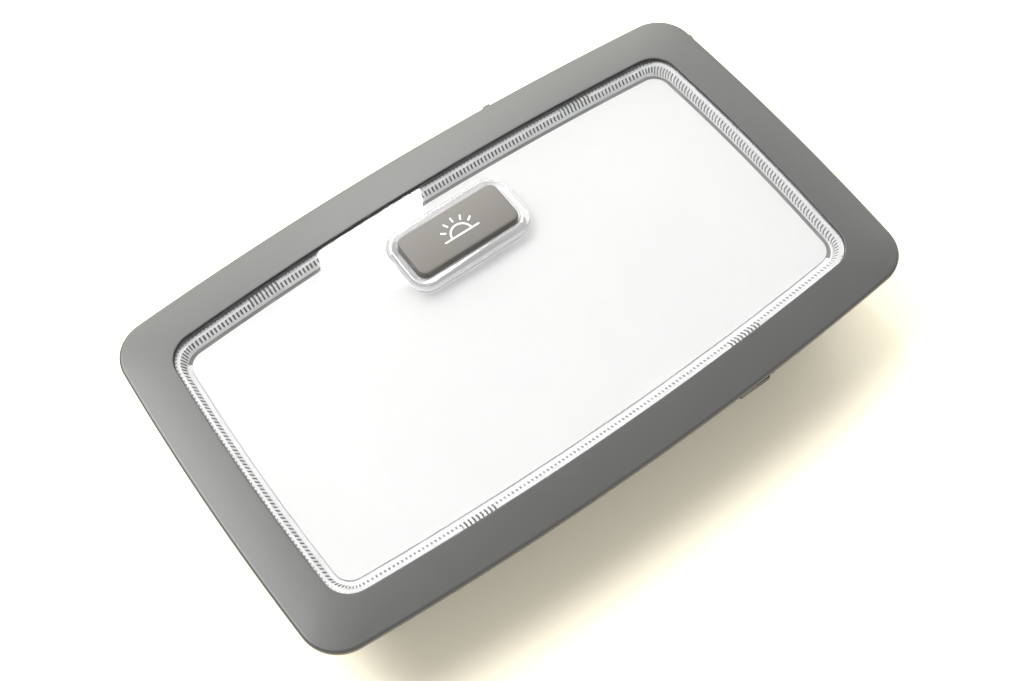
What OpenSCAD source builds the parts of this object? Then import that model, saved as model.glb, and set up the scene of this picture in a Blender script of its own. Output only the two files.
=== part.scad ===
// Car interior light: a roof lamp with a grey frame, a clear lens with a raised collar round its push button,
// an opal diffuser, two tubular bulbs and a sprung switch. It lies on its back, with the lens facing up.
// X runs along the long side, Y towards the button side, Z out of the lens. Lengths are in millimetres.

/* [Frame] */
// Overall length of the frame
frame_l = 160; // [150:1:192]
// Overall width of the frame
frame_w = 95.3; // [93:0.1:115]
// Radius of the frame's long edges
frame_long_r = 832; // [600:1:2000]
// Radius of the frame's short edges
frame_short_r = 668; // [500:1:2000]
// Radius of the frame's outer corners
frame_corner_r = 9.1; // [6:0.1:12]
// Width of the frame's face on the long sides
face_w = 9.83; // [9.5:0.01:12]
// Width of the frame's face on the short sides
face_end_w = 10; // [9.5:0.01:12]
// Radius of the inner lip's long edges
lip_long_r = 815; // [600:1:2000]
// Radius of the inner lip's short edges
lip_short_r = 528; // [400:1:2000]
// Radius of the inner lip's corners
lip_corner_r = 6.5; // [6:0.1:9]
// Height of the inner lip over the frame's widest line
lip_rise = 1.7; // [1:0.1:2.5]
// Depth of the rim under the frame's widest line
rim_drop = 1.3; // [1:0.1:2]
// Thickness of the skirt behind the inner lip
skirt_t = 1.8; // [1.4:0.1:2]

/* [Overall height] */
// Height of the frame's widest line over the back of the housing
rim_z = 24; // [23.5:0.1:29]
// Height of the skirt's lower edge over the back of the housing
skirt_z = 11.5; // [11.3:0.1:13]

/* [Lens] */
// Thickness of the clear front plate
lens_t = 1.2; // [1:0.1:1.5]
// Depth of the lens's ribbed border under the front plate
rib_h = 1.6; // [1:0.1:2]
// Height of the lens front over the frame's widest line
lens_rise = 0.2; // [0:0.1:0.6]
// Depth of the lens's snap arms and chimney under the front plate
lens_wall_h = 7; // [6.2:0.1:7.2]
// Thickness of the snap arms
lens_wall_t = 0.9; // [0.8:0.1:1]
// Length of each snap hook
lens_hook_l = 8.7; // [6:0.1:12]
// Distance of the button-side snap hooks from the middle
lens_hook_x1 = 44; // [30:1:50]
// Distance of the other two snap hooks from the middle
lens_hook_x2 = 36; // [20:1:50]
// Height of the collar over the lens front
collar_rise = 0.8; // [0.4:0.1:1.2]
// Width of the collar's ring
collar_w = 2.5; // [1.8:0.1:3]
// Thickness of the opal diffuser
diffuser_t = 1.2; // [1:0.1:1.6]
// Distance of the diffuser's short ends from the inner lip
diffuser_end_in = 2.8; // [2.6:0.1:4]
// Distance of the diffuser's long sides from the inner lip
diffuser_side_in = 3.5; // [3.3:0.1:5]
// Corner radius of the diffuser
diffuser_corner_r = 4; // [3:0.1:5]
// Width of the slot between the ribbed border and the diffuser
slot_w = 1.1; // [0.8:0.1:1.3]

/* [Button] */
// Length of the push button
button_l = 27.2; // [22:0.1:33]
// Width of the push button
button_w = 11.7; // [10:0.1:13]
// Corner radius of the push button
button_r = 2; // [1:0.1:3]
// Distance of the button's centre from the inner lip
button_in = 15.7; // [15:0.1:20]
// Height of the button's top over the frame's widest line
button_rise = 2.4; // [2:0.1:3.5]
// Height of the button cap
button_h = 7.4; // [6.5:0.1:8]
// Wall of the button cap
button_wall = 1.4; // [1:0.1:1.6]
// Rise of the crowned top in its middle
button_crown = 0.15; // [0.05:0.01:0.3]
// Travel of the push button
button_travel = 1.5; // [0.8:0.1:1.6]
// Length of the symbol's base line
symbol_l = 9.4; // [6:0.1:11]
// Width of the symbol's strokes
symbol_stroke = 0.55; // [0.4:0.05:0.8]
// Depth of the symbol's inlay
symbol_depth = 0.3; // [0.2:0.05:0.5]

/* [Housing] */
// Wall of the white housing
housing_wall = 1.2; // [1:0.1:1.3]
// Floor of the white housing
floor_t = 2; // [1.8:0.1:2.4]
// Depth of the pockets between the ribs on the back
pocket_depth = 0.6; // [0.3:0.1:0.8]
// Length of each vent slot under a bulb
vent_l = 22; // [10:1:26]
// Diameter of the posts that carry the diffuser
post_d = 4; // [3:0.1:5]
// Thickness of the reflector sheet
reflector_t = 0.8; // [0.5:0.1:1]
// Length of the reflector
reflector_l = 109; // [106:0.5:110]
// Width of the reflector's mouth
reflector_w = 44; // [40:1:46]
// Width of the reflector's floor
reflector_floor_w = 24; // [20:1:26]

/* [Bulbs] */
// Length of a bulb over its caps
bulb_l = 41; // [36:1:42]
// Diameter of a bulb's glass
bulb_d = 10; // [8:0.1:10.5]
// Diameter of a bulb's end caps
bulb_cap_d = 8; // [6:0.1:8.4]
// Distance of each bulb's middle from the lamp's middle
bulb_x = 32; // [31.5:0.5:32.5]
// Distance of the bulbs from the lamp's middle line
bulb_y = -9; // [-11:0.5:-8]

/* [Switch] */
// Length of the switch case
switch_l = 14; // [12:0.1:18]
// Width of the switch case
switch_w = 12; // [11.5:0.1:13]
// Height of the switch case
switch_h = 9; // [8.5:0.1:10]
// Diameter of the plunger's shaft
plunger_d = 5; // [4:0.1:5.4]
// Diameter of the spring's wire
spring_wire = 0.5; // [0.4:0.05:0.7]
// Radius of the spring's turns, at the middle of the wire
spring_r = 3.3; // [3.1:0.1:3.5]
// Number of the spring's turns
spring_turns = 5; // [4:1:6]

/* [Wiring] */
// Width of a contact strip
strip_w = 1.6; // [1.2:0.1:1.7]
// Thickness of a contact strip
strip_t = 0.8; // [0.5:0.1:1]
// Distance between the connector's pins
pin_pitch = 2.5; // [2.3:0.1:2.7]
// Width and thickness of a connector pin
pin_t = 0.64; // [0.5:0.02:0.8]
// Length of the pins inside the socket
pin_l = 6.5; // [4:0.1:7]
// Inside width of the connector socket
socket_w = 11.6; // [11:0.1:14]
// Inside height of the connector socket
socket_h = 6.6; // [6:0.1:6.7]
// Depth of the connector socket
socket_depth = 14; // [12:0.1:15]
// Wall of the connector shell
socket_wall = 1.2; // [1:0.1:1.3]

/* [Fixing] */
// Distance of the latches from the middle
latch_x = 30.8; // [20:0.1:34]
// Length of each latch
latch_l = 8.1; // [6:0.1:10]
// Distance of the fixed hooks from the middle
hook_x = 25.5; // [18:0.1:34]
// Room behind the rim for the roof lining
lining_gap = 2.1; // [1.5:0.1:3]
// Diameter of the frame screws
screw_d = 2.8; // [2.5:0.1:3.2]
// Length of the frame screws under their heads
screw_l = 10; // [8:0.5:11]
// Distance of the frame screws from the lamp's long middle line
screw_y = 20; // [14:0.5:24]

/* [Clearances] */
// Gap between the lens and the inner lip
lens_gap = 0.15; // [0.1:0.05:0.3]
// Gap between the housing and the frame's skirt
housing_gap = 0.3; // [0.2:0.05:0.4]
// Gap between the lens's arms or chimney and the pieces beside them
wall_gap = 0.25; // [0.2:0.05:0.3]
// Gap round the push button
button_gap = 0.3; // [0.2:0.05:0.5]
// Gap between the lens plate and the diffuser
diffuser_gap = 1.4; // [1.2:0.1:1.6]
// Radial gap of sliding and pinned fits
fit_gap = 0.05; // [0.03:0.01:0.08]

/* [Hidden] */
$fn = 48;
e = 0.01;

long_steps = 12;
short_steps = 6;
corner_steps = 8;
edge_round = 0.4;
face_inset = 0.9;
face_step = 0.7;
face_bulge = 0.35;
lip_land = 0.45;
lip_round = 0.12;
rim_w = 1.9;
nib_root = 1.2;
nib_h = 1;
nib_x = 25.3;
nib_y = 34.8;

lip_l = frame_l - 2 * face_end_w;
lip_w = frame_w - 2 * face_w;
lens_top = rim_z + lens_rise;
lens_bottom = lens_top - lens_t;
lens_wall_in = housing_gap + housing_wall + wall_gap;
lens_wall_bottom = lens_bottom - lens_wall_h;
rib_bottom = lens_bottom - rib_h;
diffuser_top = lens_bottom - diffuser_gap;
diffuser_bottom = diffuser_top - diffuser_t;
hook_out = 1.2;
hook_h = 1.8;

button_y = lip_w / 2 - button_in;
button_top = rim_z + button_rise;
button_bottom = button_top - button_h;
opening_l = button_l + 2 * button_gap;
opening_w = button_w + 2 * button_gap;
opening_r = button_r + button_gap;
chimney_t = 1.5;
symbol_y = button_y - 1.7;
symbol_arc_r = 2.9;
block_l = 14;
block_w = 6;
cap_rib_t = 1.2;

strip_top = floor_t + strip_t;
switch_bottom = strip_top;
switch_top = switch_bottom + switch_h;
cover_t = 1.2;
case_floor = 1.2;
case_bore_r = switch_w / 2 - 1.6;
flange_top = switch_top - 0.1;
flange_t = 1.4;
flange_bottom = flange_top - flange_t;
bridge_t = 0.5;
terminal_top = switch_bottom + case_floor + 1.2;
bridge_bottom = terminal_top + button_travel + 0.1;
terminal_x = 1.5;
plunger_neck = switch_top + cover_t + button_travel + 1;

reflector_bottom = strip_top + 2.2;
reflector_h = 12;
bulb_z = reflector_bottom + reflector_t + bulb_d / 2 + 0.7;
contact_t = 0.6;
contact_hole_r = 2.1;
cap_l = 7;
cap_tip_r = 1.6;
tip_l = 2;
contact_reach = bulb_l / 2 - tip_l * (contact_hole_r - fit_gap - cap_tip_r) / (bulb_cap_d / 2 - cap_tip_r);
glass_end = bulb_l / 2 - tip_l - cap_l;
neck_end = bulb_l / 2 - tip_l - 0.5;
neck_r = bulb_cap_d / 2 - 0.35;

shell_l = socket_depth + socket_wall;
shell_w = socket_w + 2 * socket_wall;
shell_h = socket_h + 2 * socket_wall;
shell_mouth_x = -lip_l / 2 - 2.5;
shell_back_x = shell_mouth_x + shell_l;
pin_z = floor_t + shell_h / 2;
pin_leg_out = 1.4;
pin_hole = pin_t + 2 * fit_gap;
flange_w = 1.2;
key_w = 4;
pin_x = shell_back_x + pin_leg_out - pin_t / 2;

boss_r = 2.7;
boss_web = 2;
screw_x = lip_x(screw_y) + skirt_t + boss_r + 0.4;
ear_t = 2.2;
ear_w = 2 * boss_r + 1.6;
ear_root = lip_x(screw_y) - housing_gap - 0.8;
ear_end = screw_x + boss_r + 0.2;
hole_d = screw_d + 0.4;
head_d = 5.4;
head_h = 1.8;
drive_l = 3;
drive_w = 0.7;
pilot_extra = 1.2;
rib_w = 1.4;
back_border = 3;
pocket_pitch_x = (lip_l - 2 * (housing_gap + back_border) + rib_w) / 7;
pocket_pitch_y = (lip_w - 2 * (housing_gap + back_border) + rib_w) / 3;
vent_w = 1.4;
vent_rows = [-7.5, -0.5, 2, 4.5];
post_y = lip_w / 2 - diffuser_side_in - post_d / 2 - 4;
post_x = lip_x(post_y) - diffuser_end_in - post_d / 2;
stake_r = 0.8;
inner_foot_x = bulb_x - contact_reach - 2;
outer_foot_x = bulb_x + contact_reach + 2.4;
feed_y = bulb_y - 11;
feed_path = [[pin_x, pin_y(0)], [-outer_foot_x, pin_y(0)], [-outer_foot_x, feed_y], [outer_foot_x, feed_y],
  [outer_foot_x, bulb_y]];
return_path = [[pin_x, pin_y(1)], [inner_foot_x, pin_y(1)]];
signal_x = -18;
signal_path = [[pin_x, pin_y(2)], [signal_x, pin_y(2)], [signal_x, button_y], [-terminal_x, button_y]];
ground_x = -30;
ground_y = button_y + 3.5;
ground_path = [[pin_x, pin_y(3)], [ground_x, pin_y(3)], [ground_x, ground_y], [terminal_x + 3.5, ground_y],
  [terminal_x + 3.5, button_y], [terminal_x, button_y]];
feed_stakes = [[-bulb_x, feed_y], [bulb_x, feed_y]];
return_stakes = [[-inner_foot_x / 2, pin_y(1)], [inner_foot_x / 2, pin_y(1)]];
signal_stakes = [[signal_x, pin_y(2) + 6], [signal_x, button_y - 6]];
ground_stakes = [[ground_x, pin_y(3) + 6], [ground_x, ground_y - 6]];
stakes = concat(feed_stakes, return_stakes, signal_stakes, ground_stakes);
catch_z = rim_z - rim_drop - lining_gap;
catch_t = 1.8;
catch_root = 0.6;
guard_t = 0.9;
guard_x = 5.8;
latch_reach = frame_w / 2 - 1.15;
short_reach = frame_w / 2 - 2.6;
hook_reach = frame_w / 2 - 2.2;

// Place of connector pin i across the socket
function pin_y(i) = (i - 1.5) * pin_pitch;

// Half-width of the inner lip at a distance x from the middle
function lip_y(x) = lip_w / 2 - lip_long_r + sqrt(lip_long_r * lip_long_r - x * x);

// Half-length of the inner lip at a distance y from the middle
function lip_x(y) = lip_l / 2 - lip_short_r + sqrt(lip_short_r * lip_short_r - y * y);

// Distance of the skirt's outer side from the middle line
function skirt_out(x) = lip_y(x) + skirt_t;

// Half-width of the frame at a distance x from the middle
function frame_y(x) = frame_w / 2 - frame_long_r + sqrt(frame_long_r * frame_long_r - x * x);

// Half-length of the frame at a distance y from the middle
function frame_x(y) = frame_l / 2 - frame_short_r + sqrt(frame_short_r * frame_short_r - y * y);

// Centre of the corner arc that touches a long edge's arc and a short edge's arc
function corner_centre(hx, hy, rl, rs, rc) =
  let (ay = hy - rl, bx = hx - rs, ra = rl - rc, rb = rs - rc)
  let (d = norm([bx, ay]), ux = bx / d, uy = -ay / d)
  let (a = (ra * ra - rb * rb + d * d) / (2 * d), h = sqrt(ra * ra - a * a))
  [a * ux + h * uy, ay + a * uy - h * ux];

// Points along an arc, without its last one
function arc(c, r, a0, a1, n) =
  [for (i = [0:n - 1]) let (a = a0 + (a1 - a0) * i / n) [c[0] + r * cos(a), c[1] + r * sin(a)]];

// First quarter of an outline with arched sides, from the middle of the short edge
function quarter(hx, hy, rl, rs, rc) =
  let (c = corner_centre(hx, hy, rl, rs, rc))
  let (a = atan2(c[1] - hy + rl, c[0]), b = atan2(c[1], c[0] - hx + rs))
  concat(arc([hx - rs, 0], rs, 0, b, short_steps / 2),
    arc(c, rc, b, a, corner_steps),
    arc([0, hy - rl], rl, a, 90, long_steps / 2));

// The whole outline: each quarter is the one before it, turned over the axis where they meet
function outline(hx, hy, rl, rs, rc) =
  let (q = quarter(hx, hy, rl, rs, rc), n = len(q))
  concat(q,
    [[0, hy]], [for (i = [1:n - 1]) [-q[n - i][0], q[n - i][1]]],
    [for (p = q) [-p[0], -p[1]]],
    [[0, -hy]], [for (i = [1:n - 1]) [q[n - i][0], -q[n - i][1]]]);

// Outline of the frame, d inside its edge
function frame_outline(d) =
  outline(frame_l / 2 - d, frame_w / 2 - d, frame_long_r - d, frame_short_r - d, frame_corner_r - d);

// Outline of the inner lip, d inside it
function lip_outline(d) =
  outline(lip_l / 2 - d, lip_w / 2 - d, lip_long_r - d, lip_short_r - d, lip_corner_r - d);

// Outline of the diffuser, d inside its edge
function diffuser_outline(d) =
  outline(lip_l / 2 - diffuser_end_in - d, lip_w / 2 - diffuser_side_in - d, lip_long_r - diffuser_side_in - d,
    lip_short_r - diffuser_end_in - d, diffuser_corner_r - d);

function raised(points, z) = [for (p = points) [p[0], p[1], z]];

// Ring of the frame's face, a share s of the way from the edge to the lip, with a slight crown
function face_ring(s) =
  let (outer = frame_outline(face_inset), inner = lip_outline(-lip_land))
  let (z0 = rim_z + face_step, z1 = rim_z + lip_rise)
  raised(outer * (1 - s) + inner * s, z0 + (z1 - z0) * (s + face_bulge * s * (1 - s)));

module closed_loft(rings) {
  n = len(rings[0]);
  m = len(rings);
  points = [for (r = rings) each r];
  faces = [for (k = [0:m - 1], i = [0:n - 1])
    let (j = (i + 1) % n, l = (k + 1) % m)
    each [[k * n + i, l * n + i, l * n + j], [k * n + i, l * n + j, k * n + j]]];
  polyhedron(points, faces, convexity = 4);
}

module rounded_rect(l, w, r) {
  square([l - 2 * r, w], center = true);
  square([l, w - 2 * r], center = true);
  for (x = [-1, 1], y = [-1, 1])
    translate([x * (l / 2 - r), y * (w / 2 - r)]) circle(r);
}

module ring_wall(d, t, z, h) {
  translate([0, 0, z]) linear_extrude(h) difference() {
    polygon(lip_outline(d));
    polygon(lip_outline(d + t));
  }
}

// A flat strip of the wiring that follows a list of square-cornered points
module strip_path(points, w) {
  for (i = [0:len(points) - 2]) {
    a = points[i];
    b = points[i + 1];
    translate([min(a[0], b[0]) - w / 2, min(a[1], b[1]) - w / 2, floor_t])
      cube([abs(a[0] - b[0]) + w, abs(a[1] - b[1]) + w, strip_t]);
  }
}

module at_screws() {
  for (x = [-1, 1], y = [-1, 1]) translate([x * screw_x, y * screw_y, 0]) children();
}

// A profile in the YZ plane, drawn outwards, made into a catch of length l at x, on the side given by s
module side_catch(x, l, s, points) {
  translate([x, 0, 0]) rotate([0, 0, s < 0 ? 180 : 0]) translate([-l / 2, 0, 0])
    rotate([90, 0, 90]) linear_extrude(l) polygon(points);
}

// Sprung latch or fixed hook behind the rim, reaching out to y
module lining_catch(x, l, s, reach, sprung) {
  wall = skirt_out(x);
  root = sprung ? skirt_z : catch_z - 2 * catch_t;
  arm = wall + (sprung ? 1.4 : -catch_root);
  side_catch(x, l, s, [[wall - catch_root, root], [wall + 2.8, root], [wall + 3, catch_z - 2.6 * catch_t],
    [reach, catch_z - catch_t], [reach, catch_z], [arm, catch_z], [arm, root + catch_t],
    [wall - catch_root, root + catch_t]]);
}

// Thin rib beside a latch, from the skirt out to y
module guard_rib(x, s, reach) {
  wall = skirt_out(x);
  side_catch(x, guard_t, s, [[wall - catch_root, skirt_z + 3], [reach, catch_z - catch_t], [reach, catch_z],
    [wall - catch_root, catch_z]]);
}

module bezel_shell() {
  under_z = rim_z - rim_drop;
  closed_loft([
    raised(frame_outline(edge_round), under_z),
    raised(frame_outline(0), under_z + edge_round),
    raised(frame_outline(0), rim_z),
    raised(frame_outline(0.6 * edge_round), rim_z + edge_round),
    face_ring(0), face_ring(0.3), face_ring(0.65), face_ring(1),
    raised(lip_outline(-lip_round), rim_z + lip_rise - lip_round),
    raised(lip_outline(0), rim_z + lip_rise - 3 * lip_round),
    raised(lip_outline(0), skirt_z),
    raised(lip_outline(-skirt_t), skirt_z),
    raised(lip_outline(-skirt_t), rim_z - 0.5),
    raised(frame_outline(rim_w + edge_round), rim_z - 1),
    raised(frame_outline(rim_w), under_z)
  ]);
}

module bezel() color([0.50, 0.50, 0.48]) difference() {
  union() {
    bezel_shell();
    at_screws() translate([0, 0, skirt_z]) cylinder(h = rim_z - 0.7 - skirt_z, r = boss_r);
    for (a = [0, 180], y = [-1, 1]) rotate([0, 0, a])
      translate([lip_x(screw_y) + skirt_t - catch_root, y * screw_y - boss_web / 2, skirt_z])
        cube([boss_r, boss_web, rim_z - 1 - skirt_z]);
    lining_catch(latch_x, latch_l, -1, latch_reach, true);
    lining_catch(-latch_x, latch_l, -1, short_reach, true);
    for (x = [-1, 1]) lining_catch(x * hook_x, latch_l, 1, hook_reach, false);
    for (x = [-1, 1]) guard_rib(latch_x + x * guard_x, -1, latch_reach - 0.7);
    edge_nibs();
  }
  at_screws() translate([0, 0, skirt_z - ear_t]) cylinder(h = screw_l + pilot_extra, r = screw_d / 2 + fit_gap);
}

// Two moulding nibs that stand a little proud of the frame's edge
module edge_nibs() {
  translate([nib_x, frame_y(nib_x) - nib_root, rim_z - rim_drop]) cube([1.9, nib_root + 0.65, nib_h]);
  translate([frame_x(nib_y) - nib_root, nib_y - 0.6, rim_z - rim_drop]) cube([nib_root + 0.45, 1.2, nib_h]);
}

module lens() color([0.88, 0.90, 0.92, 0.5]) {
  difference() {
    union() {
      translate([0, 0, lens_bottom]) linear_extrude(lens_t) polygon(lip_outline(lens_gap));
      ribbed_border();
      translate([0, button_y, lens_wall_bottom]) linear_extrude(lens_wall_h + e)
        rounded_rect(opening_l + 2 * chimney_t, opening_w + 2 * chimney_t, opening_r + chimney_t);
      translate([0, button_y, diffuser_top + wall_gap])
        linear_extrude(lens_top + collar_rise - diffuser_top - wall_gap)
          rounded_rect(opening_l + 2 * collar_w, opening_w + 2 * collar_w, opening_r + collar_w);
      for (x = [-1, 1]) lens_hook(x * lens_hook_x1, 1);
      for (x = [-1, 1]) lens_hook(x * lens_hook_x2, -1);
    }
    translate([0, button_y, 0]) linear_extrude(rim_z * 2) rounded_rect(opening_l, opening_w, opening_r);
  }
}

// Border under the plate that carries the fine optical ribs
module ribbed_border() {
  translate([0, 0, rib_bottom]) linear_extrude(rib_h + e) difference() {
    polygon(lip_outline(lens_gap));
    polygon(diffuser_outline(-slot_w));
  }
}

// Snap arm under the ribbed border, with its hook, clear of the housing's arched wall at the arm's outer end
module lens_hook(x, s) {
  wall = lip_y(abs(x) + lens_hook_l / 2) - lens_wall_in;
  side_catch(x, lens_hook_l, s, [[wall - lens_wall_t, lens_wall_bottom], [wall + 0.4, lens_wall_bottom],
    [wall + hook_out, lens_wall_bottom + 1.2], [wall + hook_out, lens_wall_bottom + hook_h],
    [wall, lens_wall_bottom + hook_h], [wall, rib_bottom + e], [wall - lens_wall_t, rib_bottom + e]]);
}

module diffuser() color([0.97, 0.97, 0.96]) difference() {
  translate([0, 0, diffuser_bottom]) linear_extrude(diffuser_t) polygon(diffuser_outline(0));
  translate([0, button_y, 0]) linear_extrude(rim_z * 2)
    rounded_rect(opening_l + 2 * (chimney_t + wall_gap), opening_w + 2 * (chimney_t + wall_gap),
      opening_r + chimney_t + wall_gap);
}

module housing() color([0.93, 0.93, 0.91]) difference() {
  union() {
    linear_extrude(floor_t) polygon(lip_outline(housing_gap));
    ring_wall(housing_gap, housing_wall, floor_t - e, rib_bottom - floor_t + e);
    for (x = [-1, 1], y = [-1, 1]) {
      translate([x * post_x, y * post_y, floor_t - e]) cylinder(h = diffuser_bottom - floor_t + e, d = post_d);
      translate([x > 0 ? ear_root : -ear_end, y * screw_y - ear_w / 2, skirt_z - ear_t])
        cube([ear_end - ear_root, ear_w, ear_t]);
    }
    for (x = [-1, 1], d = [-8, 8]) translate([x * bulb_x + d, bulb_y - 4, floor_t - e])
      cylinder(h = reflector_bottom - floor_t + e, d = 3);
    for (p = stakes) translate([p[0], p[1], floor_t - e]) stake();
    switch_seat();
  }
  for (x = [-1, 1]) hook_window(x * lens_hook_x1, 1);
  for (x = [-1, 1]) hook_window(x * lens_hook_x2, -1);
  translate([-lip_l / 2 - 1, -shell_w / 2 - fit_gap, floor_t])
    cube([5, shell_w + 2 * fit_gap, shell_h + fit_gap]);
  at_screws() translate([0, 0, skirt_z - ear_t - 1]) cylinder(h = ear_t + 2, d = hole_d);
  back_pockets();
  for (x = [-1, 1], y = vent_rows)
    translate([x * bulb_x - vent_l / 2, bulb_y + y - vent_w / 2, -1]) cube([vent_l, vent_w, floor_t + 2]);
}

// Shallow pockets that leave a grid of ribs on the back
module back_pockets() {
  translate([0, 0, -e]) linear_extrude(pocket_depth + e) intersection() {
    polygon(lip_outline(housing_gap + back_border));
    for (x = [-3:3], y = [-1:1])
      translate([x * pocket_pitch_x, y * pocket_pitch_y])
        square([pocket_pitch_x - rib_w, pocket_pitch_y - rib_w], center = true);
  }
}

module hook_window(x, s) {
  wall = lip_y(x) - housing_gap;
  low = lens_wall_bottom - 0.4;
  high = lens_wall_bottom + hook_h + housing_gap;
  side_catch(x, lens_hook_l + 2 * housing_gap, s, [[wall - housing_wall - 1, low], [wall + 1, low],
    [wall + 1, high], [wall - housing_wall - 1, high]]);
}

// Pin through a contact strip, with its melted head
module stake() {
  cylinder(h = strip_t + 2 * e, r = stake_r);
  translate([0, 0, strip_t + e]) cylinder(h = 0.5, r = stake_r + 0.4);
}

// Pads under the switch case and two snap arms over its cover
module switch_seat() {
  clip_in = switch_w / 2 + 0.1;
  clip_top = switch_top + cover_t + 0.05;
  for (s = [-1, 1]) translate([0, button_y, 0]) {
    translate([-switch_l / 2 + 1, s * (switch_w / 2 - 0.7) - 0.6, floor_t - e])
      cube([switch_l - 2, 1.2, strip_t + e]);
    side_catch(0, 6, s, [[clip_in, floor_t - e], [clip_in + 1.3, floor_t - e], [clip_in + 1.3, clip_top + 0.4],
      [clip_in + 0.6, clip_top + 1], [clip_in - 0.6, clip_top], [clip_in, clip_top]]);
  }
}

module reflector() color([0.80, 0.81, 0.83]) difference() {
  t = reflector_t;
  translate([0, bulb_y, reflector_bottom]) {
    rotate([90, 0, 90]) {
      translate([0, 0, -reflector_l / 2]) linear_extrude(reflector_l)
        polygon([[-reflector_w / 2, reflector_h], [-reflector_floor_w / 2, 0], [reflector_floor_w / 2, 0],
          [reflector_w / 2, reflector_h], [reflector_w / 2 - 1.3 * t, reflector_h],
          [reflector_floor_w / 2 - 0.5 * t, t], [-reflector_floor_w / 2 + 0.5 * t, t],
          [-reflector_w / 2 + 1.3 * t, reflector_h]]);
      for (x = [-reflector_l / 2, reflector_l / 2 - t]) translate([0, 0, x]) linear_extrude(t)
        polygon([[-reflector_w / 2, reflector_h], [-reflector_floor_w / 2, 0], [reflector_floor_w / 2, 0],
          [reflector_w / 2, reflector_h]]);
    }
  }
  for (x = [-1, 1], s = [-1, 1])
    translate([x * bulb_x + s * (contact_reach + contact_t / 2) - 0.8, bulb_y - 3.6, reflector_bottom - 1])
      cube([1.6, 7.2, 3]);
}

module bezel_screws() color([0.62, 0.62, 0.64]) at_screws() difference() {
  union() {
    translate([0, 0, skirt_z - ear_t - head_h]) cylinder(h = head_h, d = head_d);
    translate([0, 0, skirt_z - ear_t - e]) cylinder(h = screw_l + e, d = screw_d);
  }
  for (a = [0, 90]) rotate([0, 0, a])
    translate([-drive_l / 2, -drive_w / 2, skirt_z - ear_t - head_h - 1]) cube([drive_l, drive_w, 2]);
}

// Crowned top of the button
module crown() {
  r = (button_w * button_w / 4 + button_crown * button_crown) / (2 * button_crown);
  translate([-button_l, button_y, button_top - r]) rotate([0, 90, 0])
    cylinder(h = 2 * button_l, r = r, $fn = 720);
}

module symbol_outline() {
  square([symbol_l, symbol_stroke], center = true);
  difference() {
    circle(symbol_arc_r, $fn = 192);
    circle(symbol_arc_r - symbol_stroke, $fn = 192);
    translate([-symbol_arc_r - 1, -2 * symbol_arc_r]) square([2 * symbol_arc_r + 2, 2 * symbol_arc_r]);
  }
  for (a = [34, 62, 90, 118, 146]) rotate([0, 0, a])
    translate([symbol_arc_r + 0.75, -symbol_stroke / 2]) square([1.4, symbol_stroke]);
}

module button_cap() color([0.50, 0.50, 0.48]) difference() {
  intersection() {
    translate([0, button_y, button_bottom]) linear_extrude(button_h + 1)
      rounded_rect(button_l, button_w, button_r);
    crown();
  }
  difference() {
    translate([0, button_y, button_bottom - 1]) linear_extrude(button_h - button_wall + 1)
      rounded_rect(button_l - 2 * button_wall, button_w - 2 * button_wall, button_r / 2);
    for (s = [-1, 1]) translate([s * (block_l / 2 + fit_gap + cap_rib_t / 2) - cap_rib_t / 2,
      button_y - button_w / 2, button_bottom - 2]) cube([cap_rib_t, button_w, button_h + 2]);
  }
  translate([0, symbol_y, button_top - symbol_depth]) linear_extrude(2) symbol_outline();
}

module button_symbol() color([0.95, 0.95, 0.93])
  translate([0, symbol_y, button_top - symbol_depth]) linear_extrude(symbol_depth + 0.02) symbol_outline();

module button_plunger() color([0.90, 0.89, 0.84]) translate([0, button_y, 0]) {
  translate([-block_l / 2, -block_w / 2, plunger_neck])
    cube([block_l, block_w, button_top - button_wall - plunger_neck]);
  translate([0, 0, flange_top - e]) cylinder(h = plunger_neck - flange_top + 2 * e, d = plunger_d);
  translate([0, 0, flange_bottom]) cylinder(h = flange_t, r = case_bore_r - 0.3);
  translate([0, 0, bridge_bottom + bridge_t])
    cylinder(h = flange_bottom - bridge_bottom - bridge_t + e, r = 1.5);
}

module contact_bridge() color([0.80, 0.66, 0.35])
  translate([0, button_y, bridge_bottom]) cylinder(h = bridge_t, r = 2.2);

module switch_case() color([0.16, 0.16, 0.17]) difference() {
  translate([-switch_l / 2, button_y - switch_w / 2, switch_bottom]) cube([switch_l, switch_w, switch_h]);
  translate([0, button_y, switch_bottom + case_floor]) cylinder(h = switch_h, r = case_bore_r);
  for (x = [-1, 1]) translate([x * terminal_x - 0.55, button_y - 1.05, switch_bottom - 1]) cube([1.1, 2.1, 4]);
}

module switch_cover() color([0.16, 0.16, 0.17]) difference() {
  translate([-switch_l / 2, button_y - switch_w / 2, switch_top]) cube([switch_l, switch_w, cover_t]);
  translate([0, button_y, switch_top - 1]) cylinder(h = cover_t + 2, d = plunger_d + 2 * fit_gap);
}

// Coil spring with plain ends, swept along its helix
module switch_spring() color([0.75, 0.76, 0.78]) {
  z0 = switch_bottom + case_floor + spring_wire / 2;
  z1 = flange_bottom - spring_wire / 2;
  rings = spring_turns * 16;
  sides = 8;
  points = [for (i = [0:rings], j = [0:sides - 1])
    let (a = 360 * i / 16, b = 360 * j / sides, r = spring_r + spring_wire / 2 * cos(b))
    [r * cos(a), button_y + r * sin(a), z0 + (z1 - z0) * i / rings + spring_wire / 2 * sin(b)]];
  walls = [for (i = [0:rings - 1], j = [0:sides - 1])
    let (p = i * sides + j, q = i * sides + (j + 1) % sides)
    each [[p, q, q + sides], [p, q + sides, p + sides]]];
  ends = [[for (j = [0:sides - 1]) sides - 1 - j], [for (j = [0:sides - 1]) rings * sides + j]];
  polyhedron(points, concat(walls, ends), convexity = 10);
}

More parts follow.
